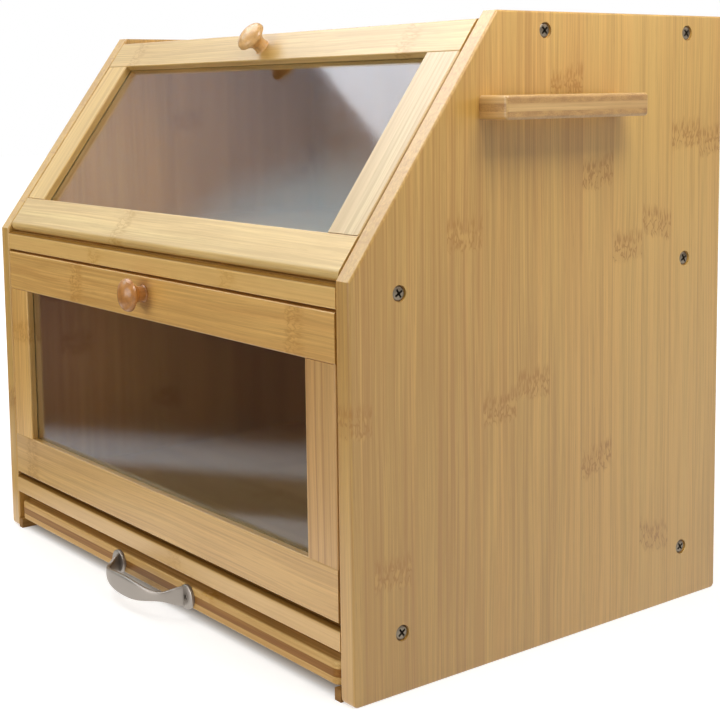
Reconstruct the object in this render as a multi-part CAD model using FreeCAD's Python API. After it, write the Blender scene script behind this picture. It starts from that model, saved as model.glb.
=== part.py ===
"""Two-level bamboo bread box with a pull-out cutting board, as separate pieces.

Two side panels carry a top panel, a middle shelf, a bottom panel and a grooved-in
back panel, all held by countersunk screws. The lower front is upright and the upper
front leans back. Each front is a framed clear door that turns forward on two pins in
the foot of its frame and is held shut by magnets. The three-ply cutting board slides
on runners under the bottom panel, and a knife holder is screwed to the right side.

Working frame: X to the right, Y to the back from the front plane, Z up from the table.
The pieces are shifted at the end, so that the origin is the bottom centre of the box
around everything.
"""
import FreeCAD, Part
import math
import os

Vector = FreeCAD.Vector

# ---------------------------------------------------------------- driving sizes, mm
# carcass
carcass_width = 400.0
carcass_depth = 280.0
carcass_height = 346.0
slope_foot_height = 214.0      # where the upright front edge ends
slope_top_setback = 98.0       # where the leaning front edge ends
side_thickness = 11.0
side_corner_radius = 3.0       # lower corners of the side outline
side_edge_radius = 1.2
panel_thickness = 12.0         # top, shelf and bottom panels
bottom_panel_underside = 26.0
shelf_drop = 2.2               # shelf's top below the foot of the slope
top_panel_drop = 4.0           # side panels stand this far above the top panel
strip_edge_radius = 2.5        # upper front edge of the shelf and bottom panel
panel_edge_radius = 0.8

# back panel, held in grooves
back_thickness = 5.0
back_rear_setback = 8.0
back_groove_depth = 5.0
back_edge_gap = 0.4
back_floor_gap = 2.0

# screws through the side panels
panel_screw_head_diameter = 7.4
panel_screw_shank_diameter = 4.0
panel_screw_length = 38.0
panel_screw_sink = 1.2         # head below the panel's face
panel_screw_hole_gap = 0.6     # round the head
screw_front_setback = 31.5
screw_rear_setback = 32.0
top_screw_setback = 28.0       # behind the middle of the top panel's front edge

# cross slots of all screws, as shares of the head's diameter
cross_slot_reach = 0.62
cross_slot_width = 0.15
cross_slot_depth = 0.25

# doors
door_thickness = 11.0
door_side_gap = 1.0
door_edge_radius = 0.9
stile_width = 25.5
lower_bottom_gap = 2.7
lower_top_gap = 1.6
lower_bottom_rail_width = 28.0
lower_top_rail_width = 26.0
upper_shelf_gap = 0.7
upper_nose_radius = 4.0        # rounded foot of the leaning door, about its pins
upper_bottom_rail_width = 20.0  # above the pins
upper_top_rail_width = 20.8
door_back_gap = 0.5            # between a closed door and what it rests on

# window panes, in grooves of the frames
pane_thickness = 2.0
pane_groove_depth = 6.0
pane_face_gap = 0.1
pane_edge_gap = 0.6

# hinge pins
pin_diameter = 3.0
pin_in_door = 14.0
pin_in_side = 6.0
pin_running_gap = 0.08
pin_end_gap = 0.8

# turned wooden knobs
knob_head_radius = 10.0
knob_flare_radius = 7.2        # halfway under the head
knob_neck_radius = 4.6
knob_base_radius = 5.6
knob_base_height = 2.0         # where the base has run into the neck
knob_neck_height = 4.5         # where the neck starts to flare
knob_flare_height = 7.8
knob_rim_height = 10.0         # from the door's face to the widest ring
knob_dome_height = 5.5
knob_rim_drop = 10.2           # knob axis below the lower door's top edge
upper_knob_rise = 10.5         # knob axis above the upper window
knob_screw_head_diameter = 6.8
knob_screw_shank_diameter = 3.5
knob_screw_length = 19.0

# magnetic catches
magnet_diameter = 8.0
magnet_thickness = 3.0
strike_thickness = 1.5
upper_catch_offset = 120.0     # from the middle of the box
stop_block_width = 16.0
stop_block_depth = 14.0
stop_block_height = 20.0

# pull-out cutting board
board_ply_thickness = 4.25
board_core_thickness = 4.5
board_side_gap = 2.0
board_front_recess = 1.0
board_rear_gap = 1.0
board_runner_gap = 0.3
board_corner_radius = 6.0
board_edge_radius = 1.4
runner_width = 5.0
runner_height = 6.5
runner_screw_head_diameter = 4.4
runner_screw_shank_diameter = 2.4
runner_screw_length = 12.0
runner_screw_inset = 30.0
runner_screw_count = 3

# strap handle of the cutting board
handle_reach = 27.0
handle_half_span = 36.0        # outside of the strap where it meets the board
strap_thickness = 2.6
grip_half_width = 5.6
shoulder_half_width = 4.9
neck_half_width = 2.9
foot_half_width = 6.6
shoulder_angle = 26.0          # round the bow, from its middle
neck_angle = 52.0
flange_radius = 7.25
flange_thickness = 2.2
flange_offset = 41.0
flange_edge_radius = 0.8
handle_screw_head_diameter = 5.2
handle_screw_shank_diameter = 3.0
handle_screw_length = 16.0

# knife holder on the right side panel
holder_length = 106.5
holder_reach = 20.0
holder_thickness = 12.5
holder_front_setback = 85.5
holder_top_drop = 43.5         # below the top of the side panels
holder_lug_length = 12.0
knife_slot_width = 7.0
holder_edge_radius = 1.8
holder_screw_head_diameter = 6.8
holder_screw_shank_diameter = 3.5
holder_screw_length = 24.0

overshoot = 1.0                # how far a cut runs past the face that it opens

# ---------------------------------------------------------------- worked-out places
side_outer = carcass_width / 2
side_inner = side_outer - side_thickness
bottom_panel_top = bottom_panel_underside + panel_thickness
shelf_top = slope_foot_height - shelf_drop
shelf_underside = shelf_top - panel_thickness
top_panel_top = carcass_height - top_panel_drop
top_panel_underside = top_panel_top - panel_thickness
back_rear = carcass_depth - back_rear_setback
back_front = back_rear - back_thickness
back_top = top_panel_underside + back_groove_depth - back_edge_gap

slope_angle = math.atan2(carcass_height - slope_foot_height, slope_top_setback)
lean_angle = math.pi / 2 - slope_angle      # of the upper door, from upright
lean_rise = math.tan(lean_angle)            # of a level line, per depth through that door

door_half_width = side_inner - door_side_gap
window_half_width = door_half_width - stile_width
pane_groove_width = pane_thickness + 2 * pane_face_gap
pane_middle = door_thickness / 2

lower_door_foot = bottom_panel_top + lower_bottom_gap
lower_door_height = shelf_underside - lower_top_gap - lower_door_foot
lower_window_low = lower_bottom_rail_width
lower_window_high = lower_door_height - lower_top_rail_width
lower_pin_height = door_thickness / 2
lower_knob_height = lower_door_height - knob_rim_drop
lower_catch_height = lower_door_height + lower_top_gap - stop_block_height / 2
lower_catch_offset = side_inner - stop_block_width / 2

# the upper door is drawn upright with its foot of the slope at zero, then leaned back
upper_pin_level = shelf_top + upper_shelf_gap + upper_nose_radius
upper_pin_height = (
    upper_pin_level - slope_foot_height + upper_nose_radius * math.sin(lean_angle)
) / math.cos(lean_angle)
upper_window_low = upper_pin_height + upper_bottom_rail_width
upper_door_top = (top_panel_top - slope_foot_height) / math.cos(lean_angle)
upper_window_high = upper_door_top - upper_top_rail_width
upper_knob_height = upper_window_high + upper_knob_rise
upper_catch_level = top_panel_underside + panel_thickness / 2
upper_catch_height = (
    upper_catch_level - slope_foot_height + door_thickness * math.sin(lean_angle)
) / math.cos(lean_angle)

board_thickness = 2 * board_ply_thickness + board_core_thickness
board_underside = runner_height + board_runner_gap
board_half_width = side_inner - board_side_gap
board_front = board_front_recess
board_back = back_front - board_rear_gap
board_middle_height = board_underside + board_thickness / 2

holder_top_height = carcass_height - holder_top_drop
holder_underside = holder_top_height - holder_thickness
holder_outer = side_outer + holder_reach
holder_back = holder_front_setback + holder_length
holder_screw_height = holder_underside + holder_thickness / 2
holder_screw_places = (
    holder_front_setback + holder_lug_length / 2,
    holder_back - holder_lug_length / 2,
)

origin_shift = Vector(
    -holder_reach / 2,
    -(carcass_depth + board_front - handle_reach) / 2,
    0,
)


# ---------------------------------------------------------------- drawing helpers
def block(x0, x1, y0, y1, z0, z1):
    """A square-cornered block between two corners."""
    return Part.makeBox(x1 - x0, y1 - y0, z1 - z0, Vector(x0, y0, z0))


def bar_from_edges(edges, x0, x1):
    """A bar along X whose cross-section, drawn at X zero, is closed by these edges."""
    face = Part.Face(Part.Wire(edges))
    return face.extrude(Vector(x1 - x0, 0, 0)).translated(Vector(x0, 0, 0))


def straight_edges(corners):
    """The straight lines from each (y, z) corner to the next."""
    points = [Vector(0, y, z) for y, z in corners]
    return [Part.makeLine(start, end) for start, end in zip(points, points[1:])]


def bar_from_outline(outline, x0, x1):
    """A bar along X whose cross-section is a list of (y, z) corners."""
    return bar_from_edges(straight_edges(outline + outline[:1]), x0, x1)


def round_edges(shape, radius, wanted):
    """Rounds the straight or curved edges that the test picks."""
    edges = [edge for edge in shape.Edges if wanted(edge)]
    return shape.makeFillet(radius, edges)


def runs_along(edge, axis):
    """Whether a straight edge runs along one axis, 0 to 2."""
    start, end = edge.Vertexes[0].Point, edge.Vertexes[-1].Point
    across = [abs(start[i] - end[i]) for i in range(3) if i != axis]
    return abs(start[axis] - end[axis]) > 0.1 and max(across) < 1e-6


def lies_at(edge, axis, value):
    """Whether every corner of an edge has this coordinate."""
    return all(abs(corner.Point[axis] - value) < 1e-6 for corner in edge.Vertexes)


def rod(radius, length, start, direction):
    """A round rod from a point along a direction."""
    return Part.makeCylinder(radius, length, start, direction)


def mirrored(shape):
    """The same piece on the other side of the middle plane."""
    return shape.mirror(Vector(0, 0, 0), Vector(1, 0, 0))


def both_sides(shape):
    """The piece and its mirror image, as separate solids of one node."""
    return Part.makeCompound([shape, mirrored(shape)])


def cut_all(shape, tools):
    """Takes each tool away from the shape."""
    for tool in tools:
        shape = shape.cut(tool)
    return shape


# ---------------------------------------------------------------- screws
def screw_body(head_diameter, shank_diameter, length, face_point, outward):
    """A countersunk screw without its slot. Its head's flat is at face_point."""
    head_radius, shank_radius = head_diameter / 2, shank_diameter / 2
    head_depth = head_radius - shank_radius
    inward = outward * -1
    head = Part.makeCone(head_radius, shank_radius, head_depth, face_point, inward)
    shank = rod(shank_radius, length - head_depth, face_point + inward * head_depth, inward)
    return head.fuse(shank).removeSplitter()


def cross_slot(head_diameter, face_point, outward):
    """The two crossed slots in a screw's head."""
    reach, width, depth = (
        head_diameter * share
        for share in (cross_slot_reach, cross_slot_width, cross_slot_depth)
    )
    one_way = block(-reach / 2, reach / 2, -width / 2, width / 2, -depth, overshoot)
    other_way = block(-width / 2, width / 2, -reach / 2, reach / 2, -depth, overshoot)
    slot = one_way.fuse(other_way)
    slot.rotate(Vector(0, 0, 0), Vector(0, 0, 1), 45)
    turn = FreeCAD.Rotation(Vector(0, 0, 1), outward)
    slot.Placement = FreeCAD.Placement(face_point, turn).multiply(slot.Placement)
    return slot


def screw(head_diameter, shank_diameter, length, face_point, outward):
    """A finished countersunk screw with a cross slot."""
    body = screw_body(head_diameter, shank_diameter, length, face_point, outward)
    return body.cut(cross_slot(head_diameter, face_point, outward))


def panel_screw_places():
    """Where the screws stand on a side panel, as (y, z)."""
    rear = carcass_depth - screw_rear_setback
    bottom_middle = bottom_panel_underside + panel_thickness / 2
    shelf_middle = shelf_underside + panel_thickness / 2
    top_middle = top_panel_underside + panel_thickness / 2
    top_front = top_panel_front(top_middle) + top_screw_setback
    return [
        (screw_front_setback, bottom_middle),
        (rear, bottom_middle),
        (screw_front_setback, shelf_middle),
        (rear, shelf_middle),
        (top_front, top_middle),
        (rear, top_middle),
    ]


def panel_screw_face(y, z):
    """The middle of a screw's head on the right side panel."""
    return Vector(side_outer - panel_screw_sink, y, z)


def panel_screw_holes():
    """Everything that the right side panel's screws take from the wood."""
    right = Vector(1, 0, 0)
    holes = []
    for y, z in panel_screw_places():
        face_point = panel_screw_face(y, z)
        holes.append(screw_body(panel_screw_head_diameter, panel_screw_shank_diameter,
                                panel_screw_length, face_point, right))
        holes.append(rod(panel_screw_head_diameter / 2 + panel_screw_hole_gap,
                         panel_screw_sink + overshoot, face_point, right))
    return holes


def right_panel_screws():
    """The six screws of the right side panel."""
    right = Vector(1, 0, 0)
    return Part.makeCompound([
        screw(panel_screw_head_diameter, panel_screw_shank_diameter,
              panel_screw_length, panel_screw_face(y, z), right)
        for y, z in panel_screw_places()
    ])


def screw_hole_pairs():
    """The screws' holes on both sides, for the level panels."""
    return panel_screw_holes() + [mirrored(hole) for hole in panel_screw_holes()]


# ---------------------------------------------------------------- carcass
def top_panel_front(height):
    """How far back the top panel starts at a height: just behind the leaning door."""
    door_face = (height - slope_foot_height) / math.tan(slope_angle)
    return door_face + (door_thickness + door_back_gap) / math.sin(slope_angle)


def pin_holes():
    """The doors' pin holes in the right side panel."""
    radius = pin_diameter / 2 + pin_running_gap
    depth = pin_in_side + pin_end_gap - door_side_gap
    holes = []
    for y, z in (lower_pin_place(), upper_pin_place()):
        holes.append(rod(radius, overshoot + depth, Vector(side_inner - overshoot, y, z),
                         Vector(1, 0, 0)))
    return holes


def holder_screw_face(y):
    """The middle of a knife holder screw's head, flush inside the right side panel."""
    return Vector(side_inner, y, holder_screw_height)


def holder_screw_holes():
    """What the knife holder's screws take from the side panel and the holder."""
    return [
        screw_body(holder_screw_head_diameter, holder_screw_shank_diameter,
                   holder_screw_length, holder_screw_face(y), Vector(-1, 0, 0))
        for y in holder_screw_places
    ]


def runner_screw_places():
    """Where a runner's screws stand along it."""
    span = board_back - 2 * runner_screw_inset
    step = span / (runner_screw_count - 1)
    return [runner_screw_inset + step * i for i in range(runner_screw_count)]


def runner_screw_face(y):
    """The middle of a runner screw's head, flush with the right runner."""
    return Vector(side_inner - runner_width, y, runner_height / 2)


def runner_screw_holes():
    """What the runner screws take from the right runner and side panel."""
    return [
        screw_body(runner_screw_head_diameter, runner_screw_shank_diameter,
                   runner_screw_length, runner_screw_face(y), Vector(-1, 0, 0))
        for y in runner_screw_places()
    ]


def plain_side_panel():
    """The right side panel, before the knife holder's screws."""
    outline = [
        (0, 0),
        (carcass_depth, 0),
        (carcass_depth, carcass_height),
        (slope_top_setback, carcass_height),
        (0, slope_foot_height),
    ]
    panel = bar_from_outline(outline, side_inner, side_outer)
    panel = round_edges(panel, side_corner_radius,
                        lambda edge: runs_along(edge, 0) and lies_at(edge, 2, 0))
    panel = round_edges(panel, side_edge_radius,
                        lambda edge: lies_at(edge, 0, side_inner) or lies_at(edge, 0, side_outer))
    groove = block(side_inner - overshoot, side_inner + back_groove_depth,
                   back_front, back_rear, -overshoot, back_top + back_edge_gap)
    return cut_all(panel, [groove] + panel_screw_holes() + pin_holes() + runner_screw_holes())


def side_panels():
    """Both side panels. Only the right one carries the knife holder."""
    plain = plain_side_panel()
    return mirrored(plain), cut_all(plain, holder_screw_holes())


def level_panel(underside):
    """The shelf or the bottom panel, with its rounded front edge."""
    top = underside + panel_thickness
    panel = block(-side_inner, side_inner, 0, back_front, underside, top)
    panel = round_edges(panel, strip_edge_radius,
                        lambda edge: lies_at(edge, 1, 0) and lies_at(edge, 2, top))
    panel = round_edges(panel, panel_edge_radius,
                        lambda edge: lies_at(edge, 1, 0) and lies_at(edge, 2, underside))
    return cut_all(panel, screw_hole_pairs())


def top_panel():
    """The top panel, its front edge cut to the lean of the upper door."""
    outline = [
        (top_panel_front(top_panel_underside), top_panel_underside),
        (carcass_depth, top_panel_underside),
        (carcass_depth, top_panel_top),
        (top_panel_front(top_panel_top), top_panel_top),
    ]
    panel = bar_from_outline(outline, -side_inner, side_inner)
    panel = round_edges(panel, panel_edge_radius,
                        lambda edge: runs_along(edge, 0) and lies_at(edge, 1, carcass_depth))
    groove = block(-side_inner, side_inner, back_front, back_rear,
                   top_panel_underside - overshoot, top_panel_underside + back_groove_depth)
    magnets = [upper_magnet(), mirrored(upper_magnet())]
    return cut_all(panel, [groove] + magnets + screw_hole_pairs())


def back_panel():
    """The thin back, in grooves of the side panels and the top panel."""
    half_width = side_inner + back_groove_depth - back_edge_gap
    return block(-half_width, half_width, back_front, back_rear, back_floor_gap, back_top)


def right_runner():
    """The strip that carries the cutting board's right edge."""
    runner = block(side_inner - runner_width, side_inner, 0, back_front, 0, runner_height)
    return cut_all(runner, runner_screw_holes())


def right_runner_screws():
    """The screws of the right runner."""
    return Part.makeCompound([
        screw(runner_screw_head_diameter, runner_screw_shank_diameter,
              runner_screw_length, runner_screw_face(y), Vector(-1, 0, 0))
        for y in runner_screw_places()
    ])


# ---------------------------------------------------------------- knife holder
def knife_holder():
    """A bar with a lug at each end, open to the side panel between them."""
    bar = block(side_outer, holder_outer, holder_front_setback, holder_back,
                holder_underside, holder_top_height)
    bar = round_edges(bar, holder_edge_radius,
                      lambda edge: lies_at(edge, 0, holder_outer)
                      or (runs_along(edge, 0) and not lies_at(edge, 0, side_outer)))
    slot = block(side_outer - overshoot, side_outer + knife_slot_width,
                 holder_front_setback + holder_lug_length, holder_back - holder_lug_length,
                 holder_underside - overshoot, holder_top_height + overshoot)
    return cut_all(bar, [slot] + holder_screw_holes())


def knife_holder_screws():
    """The two screws that hold the knife holder from inside the box."""
    return Part.makeCompound([
        screw(holder_screw_head_diameter, holder_screw_shank_diameter,
              holder_screw_length, holder_screw_face(y), Vector(-1, 0, 0))
        for y in holder_screw_places
    ])


# ---------------------------------------------------------------- door places
def stand_lower(shape):
    """Moves a piece drawn at the lower door's foot to its place."""
    return shape.translated(Vector(0, 0, lower_door_foot))


def lean_upper(shape):
    """Leans a piece drawn upright back into the upper door's place."""
    leaned = shape.copy()
    leaned.rotate(Vector(0, 0, 0), Vector(1, 0, 0), -math.degrees(lean_angle))
    leaned.translate(Vector(0, 0, slope_foot_height))
    return leaned


def lower_pin_place():
    """The lower door's pin line, as (y, z)."""
    return pane_middle, lower_door_foot + lower_pin_height


def upper_pin_place():
    """The upper door's pin line, as (y, z)."""
    depth, height = upper_nose_radius, upper_pin_height
    y = depth * math.cos(lean_angle) + height * math.sin(lean_angle)
    z = height * math.cos(lean_angle) - depth * math.sin(lean_angle)
    return y, slope_foot_height + z


# ---------------------------------------------------------------- catches
def catch_disc(offset, height, front, thickness):
    """A round magnet or steel disc, drawn on an upright door."""
    return rod(magnet_diameter / 2, thickness, Vector(offset, front, height), Vector(0, 1, 0))


def upper_magnet():
    """The right magnet in the top panel's front edge."""
    front = door_thickness + door_back_gap
    return lean_upper(catch_disc(upper_catch_offset, upper_catch_height, front,
                                 magnet_thickness))


def lower_magnet():
    """The right magnet in the lower door's stop block."""
    front = door_thickness + door_back_gap
    return stand_lower(catch_disc(lower_catch_offset, lower_catch_height, front,
                                  magnet_thickness))


def stop_block():
    """The block behind the lower door's upper right corner."""
    front = door_thickness + door_back_gap
    piece = block(side_inner - stop_block_width, side_inner, front, front + stop_block_depth,
                  shelf_underside - stop_block_height, shelf_underside)
    return piece.cut(lower_magnet())


# ---------------------------------------------------------------- doors
def pane_groove_across(low, high):
    """The groove that a rail holds the pane in, all along it."""
    return block(-door_half_width - overshoot, door_half_width + overshoot,
                 pane_middle - pane_groove_width / 2, pane_middle + pane_groove_width / 2,
                 low, high)


def hinge_pin(height, depth):
    """The right pin of a door, drawn on the upright door."""
    return rod(pin_diameter / 2, pin_in_door + pin_in_side,
               Vector(door_half_width - pin_in_door, depth, height), Vector(1, 0, 0))


def door_rail(bar, groove, holes):
    """A full-width rail with its pane groove and the holes for what it carries."""
    rail = round_edges(bar, door_edge_radius,
                       lambda edge: runs_along(edge, 0) and lies_at(edge, 1, 0)
                       and is_square(edge, bar))
    return cut_all(rail, [groove] + holes)


def is_square(edge, shape):
    """Whether the edge is a corner between flat faces, not the start of a round."""
    faces = [face for face in shape.Faces if any(edge.isSame(e) for e in face.Edges)]
    return all(isinstance(face.Surface, Part.Plane) for face in faces)


def door_stile(window_low, window_high):
    """The right stile, with a stub tenon in each rail's groove."""
    stile = block(window_half_width, door_half_width, 0, door_thickness,
                  window_low, window_high)
    stile = round_edges(stile, door_edge_radius,
                        lambda edge: runs_along(edge, 2) and lies_at(edge, 1, 0))
    groove = block(window_half_width - overshoot, window_half_width + pane_groove_depth,
                   pane_middle - pane_groove_width / 2, pane_middle + pane_groove_width / 2,
                   window_low - overshoot, window_high + overshoot)
    tenon_reach = pane_groove_depth - pane_edge_gap
    tenon = block(window_half_width + pane_groove_depth, door_half_width,
                  pane_middle - pane_groove_width / 2, pane_middle + pane_groove_width / 2,
                  window_low - tenon_reach, window_high + tenon_reach)
    return stile.cut(groove).fuse(tenon).removeSplitter()


def door_pane(window_low, window_high):
    """The clear acrylic pane of a door."""
    lap = pane_groove_depth - pane_edge_gap
    half_width = window_half_width + lap
    return block(-half_width, half_width,
                 pane_middle - pane_thickness / 2, pane_middle + pane_thickness / 2,
                 window_low - lap, window_high + lap)


def door_knob(height):
    """A turned mushroom knob that stands forward from the door's face."""
    base = Vector(knob_base_radius, 0, 0)
    foot = Vector(knob_neck_radius, knob_base_height, 0)
    neck = Vector(knob_neck_radius, knob_neck_height, 0)
    under_head = Vector(knob_flare_radius, knob_flare_height, 0)
    widest = Vector(knob_head_radius, knob_rim_height, 0)
    dome_bend = Vector(knob_head_radius * math.cos(math.pi / 4),
                       knob_rim_height + knob_dome_height * math.sin(math.pi / 4), 0)
    tip = Vector(0, knob_rim_height + knob_dome_height, 0)
    middle = Vector(0, 0, 0)
    stem = Part.BSplineCurve()
    stem.interpolate([base, foot], InitialTangent=Vector(-1, 0, 0), FinalTangent=Vector(0, 1, 0))
    flare = Part.BSplineCurve()
    flare.interpolate([neck, under_head, widest])
    dome = Part.BSplineCurve()
    dome.interpolate([widest, dome_bend, tip],
                     InitialTangent=Vector(0, 1, 0), FinalTangent=Vector(-1, 0, 0))
    outline = Part.Wire([
        Part.makeLine(middle, base),
        stem.toShape(),
        Part.makeLine(foot, neck),
        flare.toShape(),
        dome.toShape(),
        Part.makeLine(tip, middle),
    ])
    knob = Part.Face(outline).revolve(Vector(0, 0, 0), Vector(0, 1, 0), 360)
    knob.rotate(Vector(0, 0, 0), Vector(1, 0, 0), 180)
    knob.translate(Vector(0, 0, height))
    return knob


def knob_screw_size():
    """The sizes that a knob's screw and its hole share."""
    return knob_screw_head_diameter, knob_screw_shank_diameter, knob_screw_length


def door_pieces(name, place, rails, window, pin, knob_height, catch):
    """All pieces of one door. Everything is drawn upright, then put in its place."""
    bottom_bar, top_bar = rails
    window_low, window_high = window
    catch_offset, catch_height = catch
    back_point = Vector(0, door_thickness, knob_height)
    inward = Vector(0, 1, 0)
    screw_hole = screw_body(*knob_screw_size(), back_point, inward)
    pins = both_sides(hinge_pin(*pin))
    strike = catch_disc(catch_offset, catch_height, door_thickness - strike_thickness,
                        strike_thickness)
    strikes = both_sides(strike)
    low_groove = pane_groove_across(window_low - pane_groove_depth, window_low + overshoot)
    high_groove = pane_groove_across(window_high - overshoot, window_high + pane_groove_depth)
    stile = door_stile(window_low, window_high)
    pieces = {
        "bottom_rail": door_rail(bottom_bar, low_groove, [pins]),
        "top_rail": door_rail(top_bar, high_groove, [screw_hole, strikes]),
        "left_stile": mirrored(stile),
        "right_stile": stile,
        "window": door_pane(window_low, window_high),
        "hinge_pins": pins,
        "knob": door_knob(knob_height).cut(screw_hole),
        "knob_screw": screw(*knob_screw_size(), back_point, inward),
        "strike_discs": strikes,
    }
    return {f"{name}_{piece}": place(shape) for piece, shape in pieces.items()}


def across_door(outline):
    """A full-width bar of a door from its cross-section's corners."""
    return bar_from_outline(outline, -door_half_width, door_half_width)


def lower_door():
    """The upright door of the lower compartment."""
    bottom_bar = across_door([
        (0, 0),
        (door_thickness, 0),
        (door_thickness, lower_window_low),
        (0, lower_window_low),
    ])
    top_bar = across_door([
        (0, lower_window_high),
        (door_thickness, lower_window_high),
        (door_thickness, lower_door_height),
        (0, lower_door_height),
    ])
    return door_pieces("lower", stand_lower, (bottom_bar, top_bar),
                       (lower_window_low, lower_window_high),
                       (lower_pin_height, pane_middle), lower_knob_height,
                       (lower_catch_offset, lower_catch_height))


def upper_foot_bar():
    """The leaning door's foot: rounded about the pins, then level to the back."""
    def on_nose(angle):
        return Vector(0, upper_nose_radius + upper_nose_radius * math.cos(angle),
                      upper_pin_height + upper_nose_radius * math.sin(angle))

    sweep = math.pi / 2 + lean_angle
    front = on_nose(math.pi)
    lowest = on_nose(math.pi + sweep)
    nose = Part.Arc(front, on_nose(math.pi + sweep / 2), lowest).toShape()
    back_height = lowest.z + (door_thickness - lowest.y) * lean_rise
    rest = straight_edges([
        (lowest.y, lowest.z),
        (door_thickness, back_height),
        (door_thickness, upper_window_low),
        (0, upper_window_low),
        (front.y, front.z),
    ])
    return bar_from_edges([nose] + rest, -door_half_width, door_half_width)


def upper_door():
    """The leaning door of the upper compartment, its top edge cut level."""
    top_bar = across_door([
        (0, upper_window_high),
        (door_thickness, upper_window_high),
        (door_thickness, upper_door_top + door_thickness * lean_rise),
        (0, upper_door_top),
    ])
    return door_pieces("upper", lean_upper, (upper_foot_bar(), top_bar),
                       (upper_window_low, upper_window_high),
                       (upper_pin_height, upper_nose_radius), upper_knob_height,
                       (upper_catch_offset, upper_catch_height))


# ---------------------------------------------------------------- cutting board
def board_ply(underside, thickness):
    """One ply of the board, with rounded corners in plan."""
    ply = block(-board_half_width, board_half_width, board_front, board_back,
                underside, underside + thickness)
    return round_edges(ply, board_corner_radius, lambda edge: runs_along(edge, 2))


def board_plies():
    """The three glued plies. The outer arrises are rounded."""
    low, high = board_underside, board_underside + board_thickness
    bottom = round_edges(board_ply(low, board_ply_thickness), board_edge_radius,
                         lambda edge: lies_at(edge, 2, low))
    core = board_ply(low + board_ply_thickness, board_core_thickness)
    top = round_edges(board_ply(high - board_ply_thickness, board_ply_thickness),
                      board_edge_radius, lambda edge: lies_at(edge, 2, high))
    holes = handle_screw_holes()
    return {
        "board_bottom_ply": cut_all(bottom, holes),
        "board_core_ply": cut_all(core, holes),
        "board_top_ply": cut_all(top, holes),
    }


def handle_screw_face(side):
    """The middle of a handle screw's head, flush with its flange."""
    return Vector(side * flange_offset, board_front - flange_thickness, board_middle_height)


def handle_screw_holes():
    """What the handle's screws take from its flanges and the board."""
    return [
        screw_body(handle_screw_head_diameter, handle_screw_shank_diameter,
                   handle_screw_length, handle_screw_face(side), Vector(0, -1, 0))
        for side in (-1, 1)
    ]


def strap_outline(bow_radius):
    """The strap's front outline: wide at the grip, narrow at the necks, flared feet."""
    foot_angle = math.degrees(math.asin(handle_half_span / bow_radius))
    stations = [
        (0.0, grip_half_width),
        (shoulder_angle, shoulder_half_width),
        (neck_angle, neck_half_width),
        (foot_angle, foot_half_width),
    ]
    half = [(bow_radius * math.sin(math.radians(angle)), width) for angle, width in stations]
    whole = [(-x, width) for x, width in reversed(half[1:])] + half
    upper = Part.BSplineCurve()
    upper.interpolate([Vector(x, 0, width) for x, width in whole])
    lower = Part.BSplineCurve()
    lower.interpolate([Vector(x, 0, -width) for x, width in whole])
    reach, width = whole[-1]
    ends = [
        Part.makeLine(Vector(side * reach, 0, -width), Vector(side * reach, 0, width))
        for side in (-1, 1)
    ]
    return Part.Wire(Part.__sortEdges__([upper.toShape(), lower.toShape()] + ends))


def strap_handle():
    """A bowed metal strap with a round flange at each end."""
    bow_radius = (handle_half_span ** 2 + handle_reach ** 2) / (2 * handle_reach)
    bow_middle = Vector(0, board_front - handle_reach + bow_radius, board_middle_height)
    tall = 2 * foot_half_width
    foot = bow_middle - Vector(0, 0, tall / 2)
    up = Vector(0, 0, 1)
    ring = Part.makeCylinder(bow_radius, tall, foot, up).cut(
        Part.makeCylinder(bow_radius - strap_thickness, tall, foot, up))
    ring = ring.common(block(-bow_radius, bow_radius, board_front - handle_reach, board_front,
                             foot.z, foot.z + tall))
    outline = Part.Face(strap_outline(bow_radius))
    prism = outline.extrude(Vector(0, handle_reach, 0))
    prism.translate(Vector(0, board_front - handle_reach, board_middle_height))
    strap = ring.common(prism)
    for side in (-1, 1):
        flange = rod(flange_radius, flange_thickness,
                     Vector(side * flange_offset, board_front - flange_thickness,
                            board_middle_height), Vector(0, 1, 0))
        flange = round_edges(flange, flange_edge_radius,
                             lambda edge: lies_at(edge, 1, board_front - flange_thickness))
        strap = strap.fuse(flange)
    return cut_all(strap.removeSplitter(), handle_screw_holes())


def handle_screws():
    """The two screws of the strap handle."""
    return Part.makeCompound([
        screw(handle_screw_head_diameter, handle_screw_shank_diameter,
              handle_screw_length, handle_screw_face(side), Vector(0, -1, 0))
        for side in (-1, 1)
    ])


# ---------------------------------------------------------------- everything
def all_pieces():
    """Every piece by its name, in the working frame."""
    left_side, right_side = side_panels()
    pieces = {
        "left_side_panel": left_side,
        "right_side_panel": right_side,
        "top_panel": top_panel(),
        "middle_shelf": level_panel(shelf_underside),
        "bottom_panel": level_panel(bottom_panel_underside),
        "back_panel": back_panel(),
        "left_panel_screws": mirrored(right_panel_screws()),
        "right_panel_screws": right_panel_screws(),
        "left_board_runner": mirrored(right_runner()),
        "right_board_runner": right_runner(),
        "runner_screws": both_sides(right_runner_screws()),
        "knife_holder": knife_holder(),
        "knife_holder_screws": knife_holder_screws(),
        "upper_catch_magnets": both_sides(upper_magnet()),
        "lower_stop_blocks": both_sides(stop_block()),
        "lower_catch_magnets": both_sides(lower_magnet()),
        "strap_handle": strap_handle(),
        "handle_screws": handle_screws(),
    }
    pieces.update(board_plies())
    pieces.update(lower_door())
    pieces.update(upper_door())
    return pieces


os.makedirs("parts", exist_ok=True)
for piece_name, piece_shape in all_pieces().items():
    placed = piece_shape.translated(origin_shift)
    placed.exportStep(f"parts/{piece_name}.step")
    print(piece_name, len(placed.Solids), placed.isValid(), round(placed.Volume, 1))
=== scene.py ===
import math
import random
from functools import partial

import bmesh
import bpy
from bpy.props import FloatProperty, FloatVectorProperty, IntProperty, PointerProperty
from bpy.types import NodeSocket, Operator, Panel, PropertyGroup
from mathutils import Matrix, Vector


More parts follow.
